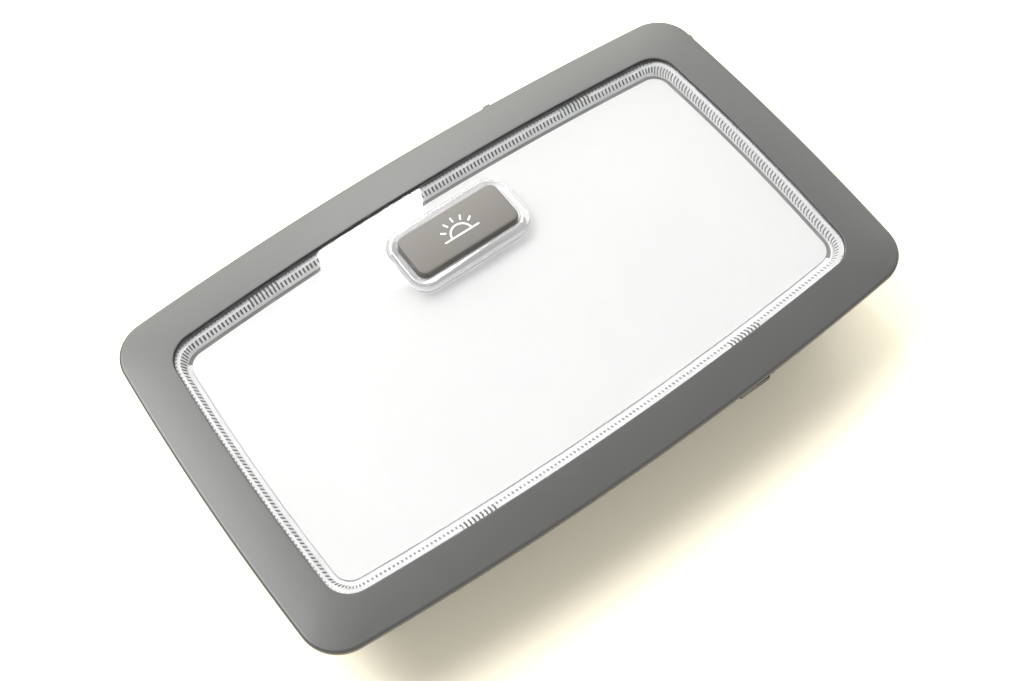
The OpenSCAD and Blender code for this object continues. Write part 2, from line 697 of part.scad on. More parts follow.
module terminal(x) color([0.80, 0.66, 0.35])
  translate([x - 0.5, button_y - 1, strip_top]) cube([1, 2, terminal_top - strip_top]);

module signal_terminal() terminal(-terminal_x);

module ground_terminal() terminal(terminal_x);

module along_bulb(s) {
  translate([s * bulb_x, bulb_y, bulb_z]) rotate([0, 90, 0]) children();
}

// Half of a bulb part's section, with its mirror image, as [radius, distance along the bulb]
function both_ends(half) =
  concat(half, [for (i = [1:len(half)]) [half[len(half) - i][0], -half[len(half) - i][1]]]);

module bulb_glass(s) color([0.90, 0.92, 0.94, 0.5]) along_bulb(s) rotate_extrude() difference() {
  polygon(both_ends([[0.35, neck_end], [neck_r, neck_end], [neck_r, glass_end],
    [0.88 * bulb_d / 2, glass_end - 0.4], [bulb_d / 2, glass_end - 1.5]]));
  polygon(both_ends([[0, glass_end - 1], [0.6 * bulb_d / 2, glass_end - 1.1],
    [0.8 * bulb_d / 2, glass_end - 1.6], [bulb_d / 2 - 0.6, glass_end - 2.4]]));
}

module bulb_caps(s) color([0.72, 0.72, 0.74]) along_bulb(s) for (m = [0, 180]) rotate([m, 0, 0])
  rotate_extrude() polygon([[0, neck_end], [neck_r + fit_gap, neck_end], [neck_r + fit_gap, glass_end + 0.2],
    [bulb_cap_d / 2, glass_end + 0.2], [bulb_cap_d / 2, bulb_l / 2 - tip_l], [cap_tip_r, bulb_l / 2],
    [0, bulb_l / 2]]);

module bulb_filament(s) color([0.45, 0.45, 0.47]) along_bulb(s) {
  translate([0, 0, -neck_end]) cylinder(h = 2 * neck_end, r = 0.25);
  translate([0, 0, -5]) cylinder(h = 10, r = 0.6);
}

module left_bulb_glass() bulb_glass(-1);

module left_bulb_caps() bulb_caps(-1);

module left_bulb_filament() bulb_filament(-1);

module right_bulb_glass() bulb_glass(1);

module right_bulb_caps() bulb_caps(1);

module right_bulb_filament() bulb_filament(1);

// Bent brass strip with a forked hole for the end of a bulb: b is the bulb's side, s the end of that bulb
module bulb_contact(b, s) color([0.80, 0.66, 0.35])
  translate([b * bulb_x + s * contact_reach, bulb_y, strip_top]) rotate([0, 0, s < 0 ? 180 : 0]) {
    difference() {
      translate([0, -3, 0]) cube([contact_t, 6, bulb_z + 3.4 - strip_top]);
      translate([-1, 0, bulb_z - strip_top]) rotate([0, 90, 0]) cylinder(h = 3, r = contact_hole_r);
      translate([-1, -1.2, bulb_z - strip_top]) cube([3, 2.4, 8]);
    }
    translate([0, -3, 0]) cube([3.6, 6, contact_t]);
  }

module left_outer_contact() bulb_contact(-1, -1);

module left_inner_contact() bulb_contact(-1, 1);

module right_inner_contact() bulb_contact(1, -1);

module right_outer_contact() bulb_contact(1, 1);

module staked_strip(paths, pins) color([0.80, 0.66, 0.35]) difference() {
  union() {
    for (p = paths) strip_path(p, strip_w);
    for (p = pins) translate([p[0], p[1], floor_t]) cylinder(h = strip_t, r = stake_r + 1);
  }
  for (p = pins) translate([p[0], p[1], floor_t - 1]) cylinder(h = strip_t + 2, r = stake_r + fit_gap);
}

module feed_strip() staked_strip([feed_path], feed_stakes);

module return_strip() staked_strip([return_path, for (x = [-1, 1]) [[x * inner_foot_x, pin_y(1)],
  [x * inner_foot_x, bulb_y]]], return_stakes);

module signal_strip() staked_strip([signal_path], signal_stakes);

module ground_strip() staked_strip([ground_path], ground_stakes);

module connector_shell() color([0.86, 0.85, 0.80]) difference() {
  union() {
    translate([shell_mouth_x, -shell_w / 2, floor_t]) cube([shell_l, shell_w, shell_h]);
    translate([-lip_l / 2 - 1, -shell_w / 2 - flange_w, floor_t + flange_w / 2])
      cube([1.2, shell_w + 2 * flange_w, shell_h - flange_w]);
  }
  translate([shell_mouth_x - 1, -socket_w / 2, floor_t + socket_wall])
    cube([socket_depth + 1, socket_w, socket_h]);
  translate([shell_mouth_x - 1, -key_w / 2, floor_t + socket_wall + socket_h - e])
    cube([5, key_w, socket_wall + 1]);
  for (i = [0:3]) translate([shell_back_x - socket_wall - 1, pin_y(i) - pin_hole / 2, pin_z - pin_hole / 2])
    cube([socket_wall + 2, pin_hole, pin_hole]);
}

module connector_pins() color([0.85, 0.80, 0.62]) for (i = [0:3]) {
  translate([shell_back_x - socket_wall - pin_l, pin_y(i) - pin_t / 2, pin_z - pin_t / 2])
    cube([socket_wall + pin_l + pin_leg_out, pin_t, pin_t]);
  translate([shell_back_x + pin_leg_out - pin_t, pin_y(i) - pin_t / 2, strip_top])
    cube([pin_t, pin_t, pin_z + pin_t / 2 - strip_top]);
}

bezel();
lens();
diffuser();
housing();
reflector();
bezel_screws();
button_cap();
button_symbol();
button_plunger();
contact_bridge();
switch_case();
switch_cover();
switch_spring();
signal_terminal();
ground_terminal();
left_bulb_glass();
left_bulb_caps();
left_bulb_filament();
right_bulb_glass();
right_bulb_caps();
right_bulb_filament();
left_outer_contact();
left_inner_contact();
right_inner_contact();
right_outer_contact();
feed_strip();
return_strip();
signal_strip();
ground_strip();
connector_shell();
connector_pins();
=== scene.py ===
# %% [markdown]
# # A car's roof lamp, finished around its packed construction
# The lamp is an assembly of a grey frame, a clear lens with a ribbed border, an opal diffuser and a push button, with
# bulbs, wiring and a switch behind them. The construction arrives as exact bodies, in metres, lying on its back with
# the lens up. This lesson keeps the bodies that already have the right shape and gives them a finish. The pieces that
# the eye rests on are built again with finer curves: the frame, the lens and the button.

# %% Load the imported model
import math

import bmesh
import bpy
import numpy as np
from mathutils import Matrix, Vector


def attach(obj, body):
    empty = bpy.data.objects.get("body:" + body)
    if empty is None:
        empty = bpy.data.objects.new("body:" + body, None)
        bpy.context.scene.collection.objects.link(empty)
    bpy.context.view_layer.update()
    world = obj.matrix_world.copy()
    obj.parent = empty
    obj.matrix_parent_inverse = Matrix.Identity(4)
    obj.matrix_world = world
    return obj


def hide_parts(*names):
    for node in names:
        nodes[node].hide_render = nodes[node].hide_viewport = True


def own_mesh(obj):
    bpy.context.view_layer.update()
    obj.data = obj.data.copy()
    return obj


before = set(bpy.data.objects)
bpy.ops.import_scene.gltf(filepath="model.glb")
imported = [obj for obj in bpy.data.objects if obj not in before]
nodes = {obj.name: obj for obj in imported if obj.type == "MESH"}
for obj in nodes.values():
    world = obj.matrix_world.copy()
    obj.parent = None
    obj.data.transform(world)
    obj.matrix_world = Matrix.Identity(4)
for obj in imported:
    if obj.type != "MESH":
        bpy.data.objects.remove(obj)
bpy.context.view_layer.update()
MM = 0.001

# %% [markdown]
# ## Camera
# The photograph was solved for its camera from the frame's outline, so the place, the direction and the focal length
# are measured values. A camera can be aimed with a Track To constraint, but a matrix made of its three axes keeps the
# small roll of the real one.

# %% Set up the camera
CAMERA_PLACE = Vector((-90.70, -124.59, 299.26)) * MM
CAMERA_RIGHT = Vector((0.80600614, -0.59188208, -0.0054511))
CAMERA_DOWN = Vector((-0.52620749, -0.71229483, -0.46448009))
CAMERA_AHEAD = Vector((0.27103465, 0.37724221, -0.88556679))
SENSOR = 36.0
FOCAL_PIXELS = 1419.57
IMAGE_WIDTH = 1024

scene = bpy.context.scene
camera = bpy.data.objects.new("camera", bpy.data.cameras.new("camera"))
camera.data.sensor_width = SENSOR
camera.data.lens = SENSOR * FOCAL_PIXELS / IMAGE_WIDTH
camera.data.clip_start = 0.01
camera.data.clip_end = 20
axes = Matrix((CAMERA_RIGHT, -CAMERA_DOWN, -CAMERA_AHEAD)).transposed()
camera.matrix_world = Matrix.Translation(CAMERA_PLACE) @ axes.to_4x4()
scene.collection.objects.link(camera)
scene.camera = camera
scene.view_settings.view_transform = "Standard"
print("focal length:", round(camera.data.lens, 2), "mm")

# %% [markdown]
# ## Writing shader maths as expressions
# Wiring every Math node by hand hides the idea of a finish. A small class wraps a socket, so that `mask * 0.2 + 0.1`
# adds the Math nodes itself, and one method adds any other node from its type, its settings and its sockets.


# %% Wrap sockets and materials
class Wire:
    """A number that changes over a surface. Sums on it add Math nodes."""

    def __init__(self, finish, socket):
        self.finish, self.socket = finish, socket

    def math(self, operation, *others, clamp=False):
        made = self.finish.add("ShaderNodeMath", {"operation": operation, "use_clamp": clamp},
                               {i: v for i, v in enumerate((self, *others))})
        return made["Value"]

    def __add__(self, other):
        return self.math("ADD", other)

    __radd__ = __add__

    def __mul__(self, other):
        return self.math("MULTIPLY", other)

    __rmul__ = __mul__

    def __sub__(self, other):
        return self.math("SUBTRACT", other)

    def __rsub__(self, other):
        return (self * -1) + other


class Made:
    """A node that was added. made["Fac"] is its output of that name, ready for sums."""

    def __init__(self, finish, node):
        self.finish, self.node = finish, node

    def __getitem__(self, name):
        return Wire(self.finish, self.node.outputs[name])


class Finish:
    """One material and its node tree."""

    def __init__(self, name, tree=None):
        if tree is None:
            self.material = bpy.data.materials.new(name)
            self.material.use_nodes = True
            tree = self.material.node_tree
        self.tree = tree
        tree.nodes.clear()

    def add(self, kind, settings=None, sockets=None):
        node = self.tree.nodes.new(kind)
        for key, value in (settings or {}).items():
            if key == "stops":
                ramp = node.color_ramp
                while len(ramp.elements) < len(value):
                    ramp.elements.new(0.5)
                for stop, (place, level) in zip(ramp.elements, value):
                    stop.position, stop.color = place, (level, level, level, 1)
            else:
                setattr(node, key, value)
        for key, value in (sockets or {}).items():
            socket = node.inputs[key]
            if isinstance(value, Wire):
                self.tree.links.new(value.socket, socket)
            elif isinstance(value, Made):
                self.tree.links.new(value.node.outputs[0], socket)
            elif isinstance(value, tuple) and socket.type == "RGBA":
                socket.default_value = (*value, 1)
            else:
                socket.default_value = value
        return Made(self, node)

    def end(self, shader):
        self.add("ShaderNodeOutputMaterial", sockets={"Surface": shader})
        return self.material

    def place(self):
        return self.add("ShaderNodeTexCoord")["Object"]

    def specks(self, size, detail=2.0, rough=0.5, place=None):
        """Noise whose patches are about that many millimetres wide."""
        return self.add("ShaderNodeTexNoise", {"noise_dimensions": "3D"},
                        {"Vector": place or self.place(), "Scale": 1 / (size * MM), "Detail": detail,
                         "Roughness": rough})["Fac"]

    def blend(self, mask, dark, light):
        """A colour between two, by a mask from 0 to 1."""
        return Wire(self, self.add("ShaderNodeMix", {"data_type": "RGBA"}, {0: mask, 6: dark, 7: light}).node.outputs[2])

    def relief(self, height, depth):
        """A surface normal for a relief of that many millimetres."""
        return self.add("ShaderNodeBump", sockets={"Height": height, "Distance": depth * MM, "Strength": 1.0})["Normal"]


print("shader helpers ready")

# %% [markdown]
# ## Light and floor
# The photograph has broad soft light from beyond the button side, and a bright white surface under the lamp. Two large
# area lights stand there, a key to the left and a warmer one to the right, and their shadows fall on the near side. A
# weak side light lifts the right end. All three stand outside the part of the room that the clear plate mirrors. A small
# fourth one stands inside it on purpose: its mirror image is the hard-edged glare beside the button. The world adds the
# room's even fill. To the camera, to a gloss and through the clear plate the room shows as plain white, and the floor
# answers with extra white, more of it far away, so it reads as white paper without an edge and still takes the shadow.

# %% Build the world, the lights and the floor
KEY_PLACE = Vector((-0.37, 0.40, 0.78))
KEY_SIZE = (0.44, 0.50)
KEY_POWER = 8.3
BACK_PLACE = Vector((0.32, 0.93, 0.70))
BACK_SIZE = (1.30, 0.68)
BACK_POWER = 13.5
BACK_COLOUR = (1.0, 0.985, 0.93)
WINDOW_PLACE = Vector((0.201, 0.494, 0.770))
WINDOW_SIZE = (0.095, 0.15)
WINDOW_POWER = 1.2
SIDE_PLACE = Vector((0.85, 0.25, 0.62))
SIDE_SIZE = (0.40, 0.40)
SIDE_POWER = 1.5
WORLD_STRENGTH = 0.51


def area_light(name, place, aim, size, power, colour=(1, 1, 1)):
    data = bpy.data.lights.new(name, "AREA")
    data.shape, data.size, data.size_y = "RECTANGLE", *size
    data.energy, data.color = power, colour
    lamp = bpy.data.objects.new(name, data)
    lamp.location = place
    lamp.rotation_euler = (Vector(aim) - Vector(place)).to_track_quat("-Z", "Y").to_euler()
    scene.collection.objects.link(lamp)
    return lamp


def shown(finish):
    """1 for a ray that shows the background: from the camera, off a gloss or through one clear plate. A ray that has met
    more surfaces than those two mostly lights something matt, and the object gets no extra light from it."""
    path = finish.add("ShaderNodeLightPath")
    kinds = (path["Is Camera Ray"] + path["Is Glossy Ray"]).math("ADD", path["Is Transmission Ray"], clamp=True)
    return kinds * path["Ray Depth"].math("LESS_THAN", 2.5)


world = bpy.data.worlds.new("room")
scene.world = world
world.use_nodes = True
room = Finish("room", world.node_tree)
sky = room.add("ShaderNodeBackground", sockets={"Color": (1, 1, 1), "Strength": WORLD_STRENGTH})
backdrop = room.add("ShaderNodeBackground", sockets={"Color": (1, 1, 1), "Strength": 1.0})
mixed = room.add("ShaderNodeMixShader", sockets={0: shown(room), 1: sky, 2: backdrop})
room.add("ShaderNodeOutputWorld", sockets={"Surface": mixed})

key = area_light("key_light", KEY_PLACE, (0, 0, 0), KEY_SIZE, KEY_POWER)
side = area_light("side_light", SIDE_PLACE, (0, 0, 0), SIDE_SIZE, SIDE_POWER)
back = area_light("back_light", BACK_PLACE, (0.10, 0, 0), BACK_SIZE, BACK_POWER, BACK_COLOUR)
window = area_light("window_light", WINDOW_PLACE, (-0.015, 0.036, 0.024), WINDOW_SIZE, WINDOW_POWER)

FLOOR_SIZE = 1.3
floor_mesh = bpy.data.meshes.new("floor")
half = FLOOR_SIZE / 2
floor_mesh.from_pydata([(-half, -half, 0), (half, -half, 0), (half, half, 0), (-half, half, 0)], [], [(0, 1, 2, 3)])
floor = bpy.data.objects.new("floor", floor_mesh)
scene.collection.objects.link(floor)

FLOOR_COLOUR = (0.86, 0.85, 0.80)
FLOOR_SEEN = (0.65, 0.60, 0.475)
FLOOR_GLOW, FAR_GLOW, NEAR, FAR = 0.05, 0.9, 0.25, 0.50
paper = Finish("white_paper")
sheet = paper.add("ShaderNodeBsdfDiffuse", sockets={"Color": FLOOR_COLOUR})
seen_sheet = paper.add("ShaderNodeBsdfDiffuse", sockets={"Color": FLOOR_SEEN})
twice = paper.add("ShaderNodeAddShader", sockets={0: seen_sheet, 1: seen_sheet})
away = Wire(paper, paper.add("ShaderNodeVectorMath", {"operation": "LENGTH"}, {0: paper.place()}).node.outputs["Value"])
far_off = (away - NEAR).math("DIVIDE", FAR - NEAR, clamp=True)
lit = paper.add("ShaderNodeEmission", sockets={"Color": paper.blend(far_off, (FLOOR_GLOW,) * 3, (FAR_GLOW,) * 3)})
bright = paper.add("ShaderNodeAddShader", sockets={0: twice, 1: lit})
floor_mesh.materials.append(paper.end(paper.add("ShaderNodeMixShader", sockets={0: shown(paper), 1: sheet, 2: bright})))
print("lights:", key.name, back.name, side.name, window.name, "and the world")

# %% [markdown]
# ## Outlines with arched sides
# The frame, the lip and everything inside them follow four long arcs joined by corner arcs. An outline could be a
# Bezier curve, but arcs have a great advantage: an outline that lies d further in is the same arcs with radii smaller
# by d. So one set of points with its outward normals gives every parallel outline.

# %% Make outlines
FRAME = dict(half_l=80.0, half_w=47.65, long_r=832.0, short_r=668.0, corner_r=9.1)
LIP = dict(half_l=70.32, half_w=37.98, long_r=815.0, short_r=528.0, corner_r=6.5)


def quarter_arcs(half_l, half_w, long_r, short_r, corner_r):
    """The three arcs of one quarter, as (centre, radius, start angle, end angle)."""
    ay, bx = half_w - long_r, half_l - short_r
    ra, rb = long_r - corner_r, short_r - corner_r
    d = math.hypot(bx, ay)
    ux, uy = bx / d, -ay / d
    a = (ra * ra - rb * rb + d * d) / (2 * d)
    h = math.sqrt(ra * ra - a * a)
    corner = (a * ux + h * uy, ay + a * uy - h * ux)
    into = math.atan2(corner[1], corner[0] - half_l + short_r)
    out = math.atan2(corner[1] - half_w + long_r, corner[0])
    return [((half_l - short_r, 0), short_r, 0, into), (corner, corner_r, into, out),
            ((0, half_w - long_r), long_r, out, math.pi / 2)]


def outline(shape, steps):
    """Points of an outline with their outward normals, anticlockwise from the middle of the right side. steps gives
    how many pieces each of a quarter's three arcs is cut into."""
    points, normals = [], []
    for (cx, cy), r, a0, a1 in quarter_arcs(**shape):
        n = steps.pop(0)
        for i in range(n):
            a = a0 + (a1 - a0) * i / n
            points.append((cx + r * math.cos(a), cy + r * math.sin(a)))
            normals.append((math.cos(a), math.sin(a)))
    points.append((0.0, shape["half_w"]))
    normals.append((0.0, 1.0))
    p, n = np.array(points), np.array(normals)
    flip_x, flip_y = np.array((-1, 1)), np.array((1, -1))
    whole_p = np.concatenate([p, (p * flip_x)[-2::-1], (p * -1)[1:], (p * flip_y)[-2:0:-1]])
    whole_n = np.concatenate([n, (n * flip_x)[-2::-1], (n * -1)[1:], (n * flip_y)[-2:0:-1]])
    return whole_p, whole_n


def even_outline(shape, count):
    """count points at even distances round an outline, with their outward normals."""
    p, n = outline(shape, [40, 160, 80])
    step = np.linalg.norm(np.roll(p, -1, 0) - p, axis=1)
    along = np.concatenate([[0], np.cumsum(step)])
    at = np.arange(count) * along[-1] / count
    closed_p, closed_n = np.vstack([p, p[:1]]), np.vstack([n, n[:1]])
    points = np.stack([np.interp(at, along, closed_p[:, k]) for k in (0, 1)], 1)
    normals = np.stack([np.interp(at, along, closed_n[:, k]) for k in (0, 1)], 1)
    return points, normals / np.linalg.norm(normals, axis=1)[:, None], along[-1]


def rounded_rectangle(length, width, radius, corner_steps=10, side_steps=1):
    """Points of a rounded rectangle with their outward normals."""
    points, normals = [], []
    for k, (sx, sy) in enumerate(((1, 1), (-1, 1), (-1, -1), (1, -1))):
        cx, cy = sx * (length / 2 - radius), sy * (width / 2 - radius)
        for i in range(corner_steps + 1):
            a = (k + i / corner_steps) * math.pi / 2
            points.append((cx + radius * math.cos(a), cy + radius * math.sin(a)))
            normals.append((math.cos(a), math.sin(a)))
        following = ((-1, 1), (-1, -1), (1, -1), (1, 1))[k]
        nx, ny = following[0] * (length / 2 - radius), following[1] * (width / 2 - radius)
        a = (k + 1) * math.pi / 2
        end = np.array((nx + radius * math.cos(a), ny + radius * math.sin(a)))
        start = np.array(points[-1])
        for i in range(1, side_steps):
            points.append(tuple(start + (end - start) * i / side_steps))
            normals.append((math.cos(a), math.sin(a)))
    return np.array(points), np.array(normals)


lip_points, lip_normals = outline(LIP, [12, 16, 24])
print("lip outline:", len(lip_points), "points")

# %% [markdown]
# ## Meshes from rings
# Each moulding here is a stack of rings with the same number of points, joined ring by ring. It is the code form of
# bridging edge loops, and it gives clean rows of quads that a profile can round as finely as it needs.


# %% Helpers that turn rings into objects
def level(points, z):
    """A flat ring at a height; z may also be a list of heights."""
    return np.column_stack([points, np.broadcast_to(z, len(points))])


def loft(rings, closed=True, cap_first=False, cap_last=False):
    """Vertices and faces of a stack of rings."""
    n = len(rings[0])
    faces = []
    for k in range(len(rings) if closed else len(rings) - 1):
        low, high = k * n, (k + 1) % len(rings) * n
        faces += [(low + i, low + (i + 1) % n, high + (i + 1) % n, high + i) for i in range(n)]
    if cap_first:
        faces.append(tuple(reversed(range(n))))
    if cap_last:
        faces.append(tuple(range((len(rings) - 1) * n, len(rings) * n)))
    return np.vstack(rings), faces


def mesh_object(name, parts, material, smooth_angle=35):
    """One object from several (vertices, faces) in millimetres, with outward normals and smooth shading."""
    bm = bmesh.new()
    for vertices, faces in parts:
        made = [bm.verts.new(Vector(v) * MM) for v in vertices]
        for f in faces:
            bm.faces.new([made[i] for i in f])
    bmesh.ops.recalc_face_normals(bm, faces=bm.faces)
    mesh = bpy.data.meshes.new(name)
    bm.to_mesh(mesh)
    bm.free()
    mesh.materials.append(material)
    mesh.shade_smooth()
    mesh.set_sharp_from_angle(angle=math.radians(smooth_angle))
    made = bpy.data.objects.new(name, mesh)
    scene.collection.objects.link(made)
    return made


print("mesh helpers ready")

# %% [markdown]
# ## Grained plastic
# The frame and the button are moulded with a fine satin grain. Seen from this distance it is a light mottle in how
# the surface shines, so noise at two sizes drives the roughness, the colour and a very shallow relief.


# %% Mix the plastics
def grained_plastic(name, colour, shine=0.45, grain_size=0.22, grain_depth=0.004, spread=0.06, gloss=0.5):
    """A moulded plastic with a fine grain: colour in linear values."""
    f = Finish(name)
    fine, broad = f.specks(grain_size, 3, 0.6), f.specks(14, 3)
    tone = fine * 0.5 + broad * 0.5
    low = tuple(c * (1 - spread) for c in colour)
    high = tuple(c * (1 + spread) for c in colour)
    skin = f.add("ShaderNodeBsdfPrincipled", sockets={
        "Base Color": f.blend(tone, low, high),
        "Roughness": fine * 0.08 + broad * 0.04 + (shine - 0.06), "Specular IOR Level": gloss,
        "Normal": f.relief(fine, grain_depth)})
    return f.end(skin)


frame_plastic = grained_plastic("satin_grey_plastic", (0.047, 0.047, 0.0455), 0.36, 0.35, 0.006, 0.16, 0.68)
button_plastic = grained_plastic("button_grey_plastic", (0.109, 0.102, 0.091), 0.42, gloss=0.55)
housing_plastic = grained_plastic("grey_housing_plastic", (0.40, 0.40, 0.385), 0.50, 0.35, 0.003, 0.05)
socket_plastic = grained_plastic("natural_socket_plastic", (0.62, 0.59, 0.50), 0.42, 0.4, 0.002, 0.04)
plunger_plastic = grained_plastic("natural_plunger_plastic", (0.66, 0.62, 0.52), 0.38, 0.5, 0.002, 0.04)
switch_plastic = grained_plastic("black_switch_plastic", (0.025, 0.025, 0.027), 0.5, 0.3, 0.003, 0.15)
symbol_plastic = grained_plastic("white_inlay", (0.80, 0.79, 0.76), 0.5, 0.3, 0.001, 0.03)
print("plastics:", 7)

# %% [markdown]
# ## Opal and clear plastic
# The diffuser is opal: white, smooth, and a little uneven where the plastic is thinner. The lens is clear acrylic, a
# Principled shader with full transmission. A common trick lets a lamp's shadow rays pass such a shader as if it were
# transparent, but light that also finds its way by refraction is then counted twice. The lamps here are large, so
# refraction alone finds them well enough.


# %% Mix the opal and the clear plastic
# The last argument is an emission strength: a painted glow on plastic that is no lamp.
def opal_plastic(name, white, painted_glow=0.0):
    f = Finish(name)
    cloud = f.specks(22, 3)
    skin = f.add("ShaderNodeBsdfPrincipled", sockets={
        "Base Color": f.blend(cloud, (white - 0.02,) * 3, (white,) * 3),
        "Roughness": f.specks(9, 2) * 0.08 + 0.36,
        "Emission Color": (1, 1, 1), "Emission Strength": painted_glow})
    return f.end(skin)


def clear_plastic(name="clear_acrylic", tint=(0.995, 0.995, 0.995)):
    f = Finish(name)
    smear = f.specks(12, 3)
    body = f.add("ShaderNodeBsdfPrincipled", sockets={
        "Base Color": f.blend(smear, tint, tuple(min(1, t * 1.005) for t in tint)),
        "Roughness": smear * 0.03 + 0.01,
        "IOR": 1.49, "Specular IOR Level": 0.3, "Transmission Weight": 1.0})
    return f.end(body)


opal = opal_plastic("opal_plastic", 0.915)
# The border's white is a brighter copy of the opal: painted light, standing in for the light that the clear ribs carry.
rib_white_painted_light = opal_plastic("border_white_painted_light", 0.96)
# The collar's white skin is frosted white with a painted glow. Its grey skin is painted shade with a weaker painted
# glow.
collar_white_painted_glow, collar_painted_shade = opal_plastic("collar_white_painted_glow", 0.96, 0.24), opal_plastic("collar_painted_shade", 0.70, 0.13)
clear = clear_plastic()
bulb_clear = clear_plastic("bulb_glass", (0.97, 0.98, 0.98))
print("opal and clear plastic ready")

# %% [markdown]
# ## Metals
# The screws, the strips and the reflector are small and mostly hidden, but they show through the socket and from the
# back. Brushing is noise that is stretched along one direction; zinc has a faint cloudy tone.


# %% Mix the metals
def drawn_metal(name, colour, rough=0.3, size=1.2, stretch=(1, 8, 8), relief=0.001):
    f = Finish(name)
    lines = f.add("ShaderNodeMapping", sockets={"Vector": f.place(), "Scale": stretch})
    streak, cloud = f.specks(size, 3, 0.6, Wire(f, lines.node.outputs[0])), f.specks(5, 3)
    low, high = tuple(c * 0.86 for c in colour), tuple(min(1, c * 1.05) for c in colour)
    skin = f.add("ShaderNodeBsdfPrincipled", sockets={
        "Base Color": f.blend(cloud, low, high), "Metallic": 1.0,
        "Roughness": streak * 0.16 + cloud * 0.10 + (rough - 0.1),
        "Normal": f.relief(streak, relief)})
    return f.end(skin)


zinc = drawn_metal("zinc_plate", (0.56, 0.55, 0.50), 0.36, 1.5, (1, 1, 1))
brass = drawn_metal("brass_strip", (0.74, 0.56, 0.27), 0.30)
aluminium = drawn_metal("rolled_aluminium", (0.80, 0.81, 0.83), 0.24, 1.0, (1, 10, 10))
nickel = drawn_metal("nickel_cap", (0.62, 0.60, 0.57), 0.28, 1.0, (4, 1, 1))
steel_wire = drawn_metal("steel_wire", (0.52, 0.52, 0.53), 0.34, 0.6, (1, 1, 1))
tungsten = drawn_metal("dull_wire", (0.20, 0.20, 0.21), 0.42, 0.4, (1, 1, 1))
tin = drawn_metal("tinned_pin", (0.68, 0.66, 0.60), 0.26, 0.8, (8, 1, 1))
print("metals:", 7)

# %% [markdown]
# ## Finishes on the construction's own bodies
# A body that keeps its imported shape only needs its material. Moulded and stamped edges are never quite sharp, so
# three modifiers weld the imported faces together, shade them smooth with sharp edges above 30 degrees, and round their
# edges a little. They leave the mesh itself as it is.

# %% Give every imported body its finish
NODE_FINISH = {
    "bezel": frame_plastic, "lens": clear, "diffuser": opal, "housing": housing_plastic, "reflector": aluminium,
    "bezel_screws": zinc, "button_cap": button_plastic, "button_symbol": symbol_plastic,
    "button_plunger": plunger_plastic, "contact_bridge": brass, "switch_case": switch_plastic,
    "switch_cover": switch_plastic, "switch_spring": steel_wire, "signal_terminal": brass, "ground_terminal": brass,
    "left_bulb_glass": bulb_clear, "right_bulb_glass": bulb_clear, "left_bulb_caps": nickel,
    "right_bulb_caps": nickel, "left_bulb_filament": tungsten, "right_bulb_filament": tungsten,
    "left_outer_contact": brass, "left_inner_contact": brass, "right_inner_contact": brass,
    "right_outer_contact": brass, "feed_strip": brass, "return_strip": brass, "signal_strip": brass,
    "ground_strip": brass, "connector_shell": socket_plastic, "connector_pins": tin,
}
ROUNDED = {"housing": 0.25, "bezel_screws": 0.12, "connector_shell": 0.15, "reflector": 0.1, "switch_case": 0.2,
           "switch_cover": 0.2, "diffuser": 0.2}
for name, body in nodes.items():
    body.data.materials.clear()
    body.data.materials.append(NODE_FINISH[name])
smoothing = bpy.data.node_groups.new("smooth_by_angle", "GeometryNodeTree")
smoothing.interface.new_socket("Geometry", in_out="INPUT", socket_type="NodeSocketGeometry")
smoothing.interface.new_socket("Geometry", in_out="OUTPUT", socket_type="NodeSocketGeometry")
source, result = smoothing.nodes.new("NodeGroupInput"), smoothing.nodes.new("NodeGroupOutput")
angle, over = smoothing.nodes.new("GeometryNodeInputMeshEdgeAngle"), smoothing.nodes.new("FunctionNodeCompare")
over.inputs["B"].default_value = math.radians(30)
all_smooth, some_sharp = (smoothing.nodes.new("GeometryNodeSetShadeSmooth") for _ in range(2))
some_sharp.domain = "EDGE"
some_sharp.inputs["Shade Smooth"].default_value = False
for from_socket, to_socket in (
        (source.outputs[0], all_smooth.inputs["Geometry"]), (all_smooth.outputs[0], some_sharp.inputs["Geometry"]),
        (angle.outputs["Unsigned Angle"], over.inputs["A"]), (over.outputs[0], some_sharp.inputs["Selection"]),
        (some_sharp.outputs[0], result.inputs[0])):
    smoothing.links.new(from_socket, to_socket)
for name, width in ROUNDED.items():
    weld = nodes[name].modifiers.new("weld", "WELD")
    weld.merge_threshold = 1e-6
    nodes[name].modifiers.new("smooth", "NODES").node_group = smoothing
    bevel = nodes[name].modifiers.new("round", "BEVEL")
    bevel.width, bevel.segments, bevel.limit_method = width * MM, 2, "ANGLE"
    bevel.angle_limit, bevel.harden_normals = math.radians(40), True
print("finished bodies:", len(nodes), "with rounded edges:", len(ROUNDED))

# %% [markdown]
# ## The frame
# The real frame is one grey moulding: a crowned face that falls away from an inner lip, a thin rim, and a skirt
# behind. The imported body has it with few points. Here the same section is lofted with many more, and its edges are
# true quarter rounds, because the light that runs along them is what shows the shape.

# %% Loft the frame
RIM_Z, UNDER_Z, LIP_Z, SKIRT_Z = 24.0, 22.7, 25.0, 11.5
FACE_INSET, FACE_STEP, FACE_BULGE, LIP_LAND = 0.9, 0.5, 0.5, 0.15
SKIRT_T, RIM_W = 1.8, 1.9
ARC_STEPS = (16, 14, 40)


def frame_ring(inset, z):
    p, n = outline(FRAME, list(ARC_STEPS))
    return level(p - n * inset, z)


def lip_ring(inset, z):
    p, n = outline(LIP, list(ARC_STEPS))
    return level(p - n * inset, z)


def face_ring(s):
    outer, inner = frame_ring(FACE_INSET, 0), lip_ring(-LIP_LAND, 0)
    rise = (LIP_Z - RIM_Z - FACE_STEP) * (s + FACE_BULGE * s * (1 - s))
    ring = outer * (1 - s) + inner * s
    ring[:, 2] = RIM_Z + FACE_STEP + rise
    return ring


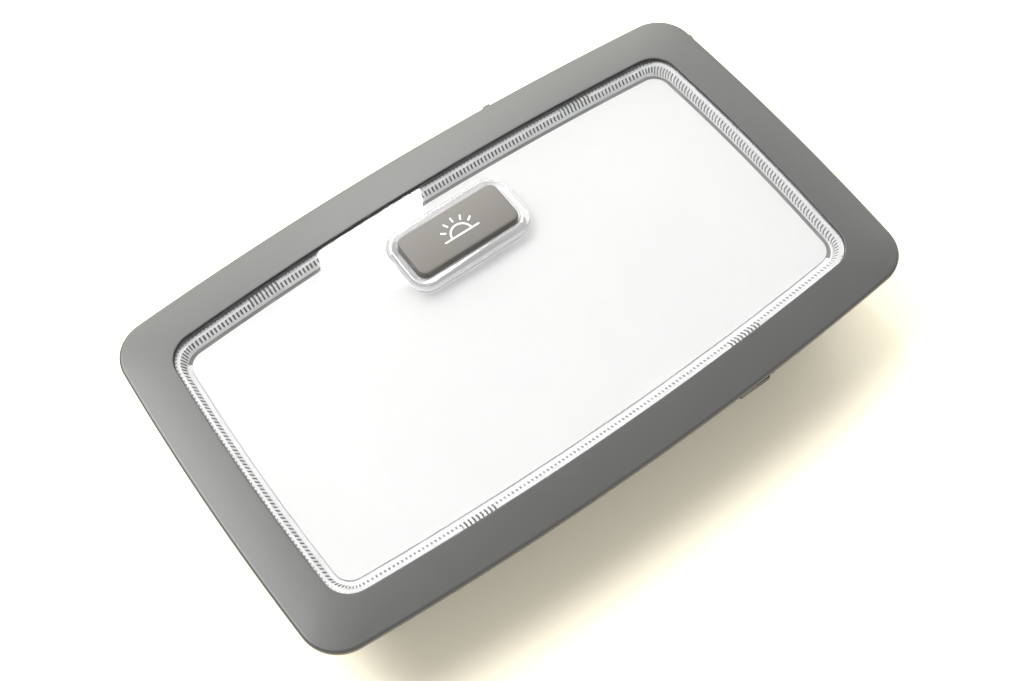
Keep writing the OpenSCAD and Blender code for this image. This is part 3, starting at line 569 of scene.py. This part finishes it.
def turn(ring_of, centre, radius, start, end, steps):
    """Rings along a quarter round in the section: centre and radius as (inset, height)."""
    return [ring_of(centre[0] + radius[0] * math.cos(a), centre[1] + radius[1] * math.sin(a))
            for a in np.radians(np.linspace(start, end, steps))]


frame_rings = (
    turn(frame_ring, (0.4, UNDER_Z + 0.4), (0.4, 0.4), -90, -180, 5)
    + turn(frame_ring, (FACE_INSET, RIM_Z), (FACE_INSET, FACE_STEP), 180, 90, 9)[:-1]
    + [face_ring(s) for s in (0, 0.06, 0.15, 0.3, 0.45, 0.6, 0.75, 0.88, 0.96, 1)]
    + turn(lip_ring, (-LIP_LAND, LIP_Z - LIP_LAND), (LIP_LAND, LIP_LAND), 90, 0, 7)[1:]
    + [lip_ring(0, LIP_Z - 1.5), lip_ring(0, LIP_Z - 4), lip_ring(0, SKIRT_Z), lip_ring(-SKIRT_T, SKIRT_Z),
       lip_ring(-SKIRT_T, RIM_Z - 0.9)]
    + [frame_ring(RIM_W + 0.4, RIM_Z - 1), frame_ring(RIM_W, UNDER_Z)])
print("frame rings:", len(frame_rings), "of", len(frame_rings[0]), "points")

# %% [markdown]
# Behind the face the frame has bosses for four screws, two sprung latches, two fixed hooks, two guard ribs and two
# tiny nibs on its edge. They are small profiles pushed out sideways, like the catches of any snap-fit moulding.

# %% Add the bosses, catches and nibs
SCREW_Y, BOSS_R, PILOT_R = 20.0, 2.7, 1.45
LATCH_X, LATCH_L, HOOK_X, GUARD_X, GUARD_T, CATCH_ROOT, CATCH_T = 30.8, 8.1, 25.5, 5.8, 0.9, 0.6, 1.8
CATCH_Z = UNDER_Z - 2.1
HALF_W = FRAME["half_w"]


def arch(shape, x, half="half_w", radius="long_r"):
    """Half-width of an outline at a distance from the middle."""
    return shape[half] - shape[radius] + math.sqrt(shape[radius] ** 2 - x * x)


def side_profile(x, length, side, points):
    """A profile in the YZ plane, drawn outwards, pushed along X."""
    rows = [np.array([(x + end * length / 2, side * y, z) for y, z in points]) for end in (-1, 1)]
    return loft(rows, closed=False, cap_first=True, cap_last=True)


def block(low, high):
    (x0, y0, z0), (x1, y1, z1) = low, high
    base = [(x0, y0), (x1, y0), (x1, y1), (x0, y1)]
    return loft([level(np.array(base), z0), level(np.array(base), z1)], closed=False, cap_first=True, cap_last=True)


def catch(x, side, reach, sprung):
    wall = arch(LIP, x) + SKIRT_T
    root = SKIRT_Z if sprung else CATCH_Z - 2 * CATCH_T
    arm = wall + (1.4 if sprung else -CATCH_ROOT)
    return side_profile(x, LATCH_L, side, [
        (wall - CATCH_ROOT, root), (wall + 2.8, root), (wall + 3, CATCH_Z - 2.6 * CATCH_T),
        (reach, CATCH_Z - CATCH_T), (reach, CATCH_Z), (arm, CATCH_Z), (arm, root + CATCH_T),
        (wall - CATCH_ROOT, root + CATCH_T)])


def boss(sx, sy):
    wall = arch(LIP, SCREW_Y, "half_l", "short_r") + SKIRT_T
    turns = np.radians(np.arange(0, 360, 10))
    circle = np.column_stack([np.cos(turns), np.sin(turns)])
    middle = np.array((sx * (wall + BOSS_R + 0.4), sy * SCREW_Y))
    tube = loft([level(middle + circle * BOSS_R, SKIRT_Z), level(middle + circle * BOSS_R, RIM_Z - 0.7),
                 level(middle + circle * PILOT_R, RIM_Z - 0.7), level(middle + circle * PILOT_R, SKIRT_Z)])
    near, far = sorted((sx * (wall - CATCH_ROOT), sx * (wall + 0.6)))
    web = block((near, sy * SCREW_Y - 1, SKIRT_Z), (far, sy * SCREW_Y + 1, RIM_Z - 1))
    return [tube, web]


def guard(x):
    wall = arch(LIP, x) + SKIRT_T
    reach = HALF_W - 1.85
    return side_profile(x, GUARD_T, -1, [(wall - CATCH_ROOT, SKIRT_Z + 3), (reach, CATCH_Z - CATCH_T),
                                         (reach, CATCH_Z), (wall - CATCH_ROOT, CATCH_Z)])


details = [p for sx in (-1, 1) for sy in (-1, 1) for p in boss(sx, sy)]
details += [catch(LATCH_X, -1, HALF_W - 1.15, True), catch(-LATCH_X, -1, HALF_W - 2.6, True)]
details += [catch(sx * HOOK_X, 1, HALF_W - 2.2, False) for sx in (-1, 1)]
details += [guard(LATCH_X + sx * GUARD_X) for sx in (-1, 1)]
NIB_X, NIB_Y = 25.3, 34.8
edge_y, edge_x = arch(FRAME, NIB_X), arch(FRAME, NIB_Y, "half_l", "short_r")
details += [block((NIB_X, edge_y - 1.2, UNDER_Z), (NIB_X + 1.9, edge_y + 0.65, UNDER_Z + 1)),
            block((edge_x - 1.2, NIB_Y - 0.6, UNDER_Z), (edge_x + 0.45, NIB_Y + 0.6, UNDER_Z + 1))]
frame_moulding = mesh_object("frame_moulding", [loft(frame_rings)] + details, frame_plastic)
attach(frame_moulding, "lamp")
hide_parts("bezel")
print("frame moulding:", len(frame_moulding.data.polygons), "faces")

# %% [markdown]
# ## The lens
# The lens is one clear moulding: a flat plate that fills the lip, a raised rounded collar round the button, and a
# short chimney under it. Its wall is lofted round the opening, and the two flat faces are filled between their loops,
# which a face with a hole needs.

# %% Build the clear plate with its collar
LENS_TOP, LENS_BOTTOM, LENS_GAP = 24.2, 23.6, 0.15
BUTTON_Y, BUTTON_L, BUTTON_W, BUTTON_R = 22.12, 27.2, 11.7, 2.0
OPENING_L, OPENING_W, OPENING_R = BUTTON_L + 0.6, BUTTON_W + 0.6, BUTTON_R + 0.3
COLLAR_SECTION = [(2.66, 24.2), (2.52, 24.22), (2.48, 24.3), (2.45, 24.66), (2.39, 24.82), (2.28, 24.94), (2.1, 25.0),
                  (1.5, 25.0), (0.5, 25.0), (0.25, 24.95), (0.07, 24.82), (0, 24.6), (0, 22.6), (0, 21.7), (0, 16.1),
                  (0.1, 16.0), (1.4, 16.0), (1.5, 16.1), (1.5, 21.7), (1.5, 21.85), (2.4, 21.85), (2.5, 21.95), (2.5, 23.6)]
# The collar's wall has three skins. One is clear. One is frosted white with a painted glow. One is grey painted shade
# with a weaker painted glow, on its outer foot line and round its chimney below the plate.
CLEAR, PAINTED_GLOW_WHITE, PAINTED_SHADE = 0, 1, 2
COLLAR_SKINS = [PAINTED_SHADE] + 11 * [CLEAR] + [PAINTED_GLOW_WHITE] + 5 * [PAINTED_SHADE] + 3 * [PAINTED_GLOW_WHITE] + [CLEAR]


def opening_ring(out, z):
    p, n = rounded_rectangle(OPENING_L, OPENING_W, OPENING_R, 10)
    return level(p + n * out + np.array((0, BUTTON_Y)), z)


def plate_with_hole(name, outer_rings, inner_rings, materials, skins):
    """A plate: a wall of rings round it, a wall of rings round its hole, and a flat face between them on each side.
    skins gives the material of each row of the hole's wall."""
    bm = bmesh.new()
    loops = []
    for rings in (outer_rings, inner_rings):
        vertices, faces = loft(rings, closed=False)
        made = [bm.verts.new(Vector(v) * MM) for v in vertices]
        n = len(rings[0])
        for k, f in enumerate(faces):
            face = bm.faces.new([made[i] for i in f])
            face.smooth = True
            face.material_index = skins[k // n] if rings is inner_rings else 0
        loops.append([made[:n], made[-n:]])
    for outer, inner in ((loops[0][1], loops[1][0]), (loops[0][0], loops[1][1])):
        edges = [bm.edges.get((ring[i], ring[(i + 1) % len(ring)])) for ring in (outer, inner) for i in range(len(ring))]
        for edge in edges:
            edge.smooth = False
        bmesh.ops.triangle_fill(bm, use_beauty=True, edges=edges)
    bmesh.ops.recalc_face_normals(bm, faces=bm.faces)
    open_edges = sum(len(e.link_faces) != 2 for e in bm.edges)
    mesh = bpy.data.meshes.new(name)
    bm.to_mesh(mesh)
    bm.free()
    for material in materials:
        mesh.materials.append(material)
    made = bpy.data.objects.new(name, mesh)
    scene.collection.objects.link(made)
    print(name, "open edges:", open_edges)
    return made


outer_wall = [lip_ring(LENS_GAP, LENS_BOTTOM), lip_ring(LENS_GAP, LENS_TOP - 0.12), lip_ring(LENS_GAP + 0.04, LENS_TOP - 0.04),
              lip_ring(LENS_GAP + 0.12, LENS_TOP)]
collar_wall = [opening_ring(w, z) for w, z in COLLAR_SECTION]
lens_plate = plate_with_hole("lens_plate", outer_wall, collar_wall, (clear, collar_white_painted_glow, collar_painted_shade),
                             COLLAR_SKINS)
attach(lens_plate, "lamp")

# %% [markdown]
# Fine ribs run round the border of the lens, about one to the millimetre. Each is a small prism with a steep inner
# face. Seen from the middle of the lamp they read as a row of light bars with dark grey between them. Here the ribs are
# a white plastic whose white is painted light. The grey in their grooves is painted shade, and so is the grey in a row
# of dots by the lip and on the slot's floor on the far sides. The border is lofted along the lip's outline, and its
# section alternates between the crest and the groove of a rib.

# %% Cut the ribs
RIB_PITCH, RIB_FOOT, RIB_BOTTOM = 1.0, 21.5, 20.9
DIFFUSER = dict(half_l=67.2, half_w=34.32, long_r=811.5, short_r=525.2, corner_r=4.0)
SLOT_W = 0.95
BRIGHT_GROUPS = ((44.0, 1), (36.0, -1))
GROUP_HALF = 4.35


def foot_points(points, normals):
    """Where rays from the lip's outline, inwards, meet the slot's outer edge."""
    target, _ = outline({k: v + SLOT_W for k, v in DIFFUSER.items()}, [40, 120, 80])
    found = []
    for p, n in zip(points, normals):
        rel = p - target
        along = rel @ n
        across = np.abs(rel @ np.array((-n[1], n[0])))
        near = np.where((along > 0) & (along < 8), across, 99)
        found.append(along[np.argmin(near)])
    return np.array(found)


_, _, lip_length = even_outline(LIP, 8)
rib_count = round(lip_length / RIB_PITCH)
border_p, border_n, _ = even_outline(LIP, rib_count * 5)
foot_in = foot_points(border_p, border_n)
on_crest = (np.arange(len(border_p)) % 5 < 2).astype(float)


def border_ring(crest, groove=None, leaning=False):
    """A ring of the border. crest and groove are (inset, height); the inset may be a list along the outline. A leaning
    ring is shifted along the right side, which bends the ribs there."""
    (dc, zc), (dg, zg) = crest, groove or crest
    inset = dc * on_crest + dg * (1 - on_crest)
    points = border_p - border_n * np.broadcast_to(inset, len(border_p))[:, None]
    if leaning:
        points = points - np.outer(RIB_LEAN * np.clip((border_n[:, 0] - 0.6) / 0.3, 0, 1), (0, 1))
    return level(points, zc * on_crest + zg * (1 - on_crest))


at_end = np.abs(border_n[:, 0]) > 0.6
top = 23.1 + 0.4 * np.clip((np.abs(border_n[:, 0]) - 0.3) / 0.4, 0, 1)
start, knee, knee_z = foot_in * 0.5, foot_in * np.where(at_end, 0.94, 0.85), np.where(at_end, 21.9, 22.3)
RIB_LEAN = 0.45
middle, middle_z = (start + 0.08 + knee) / 2, (top - 0.02 + knee_z) / 2
border_rings = [border_ring((0.18, RIB_FOOT - 0.1)), border_ring((0.18, top)), border_ring((0.26, top)),
                border_ring((0.48, top)), border_ring((start, top)),
                border_ring((start + 0.08, top - 0.02), (start + 0.08, top - 0.35)),
                border_ring((middle, middle_z), (middle, middle_z - 0.27)),
                border_ring((knee, knee_z), (knee - 0.05, knee_z - 0.2), leaning=True),
                border_ring((foot_in - 0.03, RIB_FOOT), leaning=True), border_ring((foot_in, RIB_FOOT - 0.05)),
                border_ring((foot_in, RIB_FOOT - 0.1)), border_ring((foot_in + SLOT_W - 0.06, RIB_FOOT - 0.35)),
                border_ring((foot_in + SLOT_W - 0.06, RIB_BOTTOM)), border_ring((foot_in - 0.05, RIB_BOTTOM)),
                border_ring((foot_in - 0.05, RIB_FOOT - 0.1))]
DOTS, BETWEEN, BARS, SLOT_FLOOR = (2,), (3,), (4, 5, 6), (10,)
lens_border = mesh_object("lens_border", [loft(border_rings)], rib_white_painted_light, 25)
# The three greys are painted shade: dark in the grooves, lighter in the dots and on the slot's floor.
for name, grey in (("border_groove_painted_shade", 0.07), ("slot_painted_shade", 0.22), ("border_dots_painted_shade", 0.22)):
    lens_border.data.materials.append(grained_plastic(name, (grey, grey, grey * 0.97), 0.5, 0.5, 0.001, 0.03))
n = len(border_p)
strong = np.array([any(abs(abs(x) - cx) < GROUP_HALF and y * side > 30 for cx, side in BRIGHT_GROUPS)
                   for x, y in border_p])
# Painted shade goes by row and by side. The darkest grey goes in the grooves of the bar rows, and of the dot rows
# within the two strong groups, but the lighter grey goes there on the right and near sides. The lighter grey also goes
# in the other dot rows except on the right. The slot's grey goes only on the far sides.
for f in lens_border.data.polygons:
    row = min(v // n for v in f.vertices)
    columns = {v % n for v in f.vertices}
    rows = {v // n for v in f.vertices}
    in_groove = len(rows) == 2 and max(rows) - row == 1 and not any(on_crest[c] for c in columns)
    in_group = all(strong[c] for c in columns)
    outward = border_n[min(columns)]
    far_side, near_side, right_side = max(outward) > 0.5, outward[1] < -0.6, outward[0] > 0.6
    if in_groove and (row in BARS or row in DOTS + BETWEEN and in_group):
        f.material_index = 3 if right_side or near_side and not in_group else 1
    elif in_groove and row in DOTS and not right_side:
        f.material_index = 3
    elif row in SLOT_FLOOR and far_side:
        f.material_index = 2
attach(lens_border, "lamp")
for piece in (lens_plate, lens_border):
    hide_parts("lens")
print("ribs:", rib_count, "pitch:", round(lip_length / rib_count, 3), "mm")

# %% [markdown]
# ## The push button
# The key is a hollow cap with a soft edge and a crowned top. Its section is drawn from the inside of the shell, over
# the edge, to the middle of the top, and each ring is the same rounded rectangle drawn a little further in.

# %% Shape the button cap
BUTTON_TOP, BUTTON_BOTTOM, BUTTON_WALL, CROWN, EDGE = 26.4, 19.0, 1.4, 0.15, 0.42
CROWN_R = (BUTTON_W ** 2 / 4 + CROWN ** 2) / (2 * CROWN)


def key_ring(inset, z, crowned=1.0, length=BUTTON_L, width=BUTTON_W, radius=BUTTON_R):
    """A ring of the button, inset from its outline; a crowned one follows the arched top."""
    p, n = rounded_rectangle(length, width, radius, 10, 12)
    if inset <= radius * 0.9:
        p = p - n * inset
    else:
        p = (p - n * radius * 0.9) * np.array((1 - (inset - radius * 0.9) / (length / 2 - radius * 0.9),
                                               1 - (inset - radius * 0.9) / (width / 2 - radius * 0.9)))
    drop = crowned * (CROWN_R - np.sqrt(CROWN_R ** 2 - p[:, 1] ** 2))
    ring = level(p, z)
    ring[:, 2] -= drop
    ring[:, 1] += BUTTON_Y
    return ring


edge_rings = [key_ring(EDGE - EDGE * math.cos(a), BUTTON_TOP - EDGE + EDGE * math.sin(a))
              for a in np.radians(np.linspace(0, 90, 8))]
top_rings = [key_ring(i, BUTTON_TOP) for i in (1.0, 1.6, 2.6, 3.8, 5.0)]
shell_rings = [key_ring(BUTTON_WALL, BUTTON_TOP - BUTTON_WALL, 0), key_ring(BUTTON_WALL, BUTTON_BOTTOM + 0.1, 0),
               key_ring(BUTTON_WALL - 0.1, BUTTON_BOTTOM, 0), key_ring(0.15, BUTTON_BOTTOM, 0),
               key_ring(0, BUTTON_BOTTOM + 0.15, 0)]
cap = loft(shell_rings + edge_rings + top_rings, closed=False, cap_first=True, cap_last=True)
button_shell = mesh_object("button_shell", [cap], button_plastic, 50)
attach(button_shell, "button")
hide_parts("button_cap")
print("button shell:", len(button_shell.data.polygons), "faces")

# %% [markdown]
# The white symbol is a second plastic set flush into the cap: a base line, half a sun and five rays. A cut in the cap
# with a decal would look the same from far away, but a solid inlay keeps a true edge at any distance.

# %% Inlay the symbol
SYMBOL_Y, SUN_R, STROKE, BASE_L, RAY_L, RAY_GAP = BUTTON_Y - 1.7, 2.85, 0.43, 9.4, 1.4, 0.75
INLAY_LOW, INLAY_TOP = BUTTON_TOP - 0.28, BUTTON_TOP + 0.015


def stroke(points):
    """A flat outline in millimetres from the symbol's middle, as a thin solid."""
    flat = np.array(points) + np.array((0, SYMBOL_Y))
    return loft([level(flat, INLAY_LOW), level(flat, INLAY_TOP)], closed=False, cap_first=True, cap_last=True)


def bar(length, turned=0.0, out=0.0):
    """A straight stroke with rounded ends, turned about the symbol's middle and pushed outwards."""
    p, _ = rounded_rectangle(length, STROKE, STROKE * 0.4, 4)
    p = p + np.array((out + length / 2 if out else 0, 0))
    c, s = math.cos(math.radians(turned)), math.sin(math.radians(turned))
    return stroke(p @ np.array([[c, s], [-s, c]]))


half_turn = np.radians(np.linspace(3, 177, 40))
arc = [(r * math.cos(a), r * math.sin(a)) for r, turns in ((SUN_R, half_turn), (SUN_R - STROKE, half_turn[::-1]))
       for a in turns]
symbol_parts = [bar(BASE_L), stroke(arc)] + [bar(RAY_L, a, SUN_R + RAY_GAP) for a in (34, 62, 90, 118, 146)]
symbol_inlay = mesh_object("symbol_inlay", symbol_parts, symbol_plastic, 40)
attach(symbol_inlay, "button")
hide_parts("button_symbol")
print("symbol strokes:", len(symbol_parts))

# %% [markdown]
# Under the key a coil spring pushes it back up. The imported body of it is stiff, so the key would press through it. A
# helix drawn as a tube looks the same at rest, and it gets a mesh of its own.

# %% Wind the switch spring
SPRING_R, WIRE_R, SPRING_TURNS, SPRING_LOW, SPRING_TOP, TRAVEL = 3.3, 0.25, 5, 4.0, 10.3, 1.5
wire_round = np.radians(np.arange(0, 360, 45))
coil = []
for a in np.linspace(0, SPRING_TURNS * 2 * math.pi, SPRING_TURNS * 24 + 1):
    middle_z = SPRING_LOW + WIRE_R + (SPRING_TOP - SPRING_LOW - 2 * WIRE_R) * a / (SPRING_TURNS * 2 * math.pi)
    reach = SPRING_R + WIRE_R * np.cos(wire_round)
    coil.append(level(np.column_stack([reach * math.cos(a), BUTTON_Y + reach * math.sin(a)]),
                      middle_z + WIRE_R * np.sin(wire_round)))
spring_coil = mesh_object("spring_coil", [loft(coil, closed=False, cap_first=True, cap_last=True)], steel_wire, 50)
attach(spring_coil, "lamp")
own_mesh(spring_coil)
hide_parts("switch_spring")
print("spring rings:", len(coil))
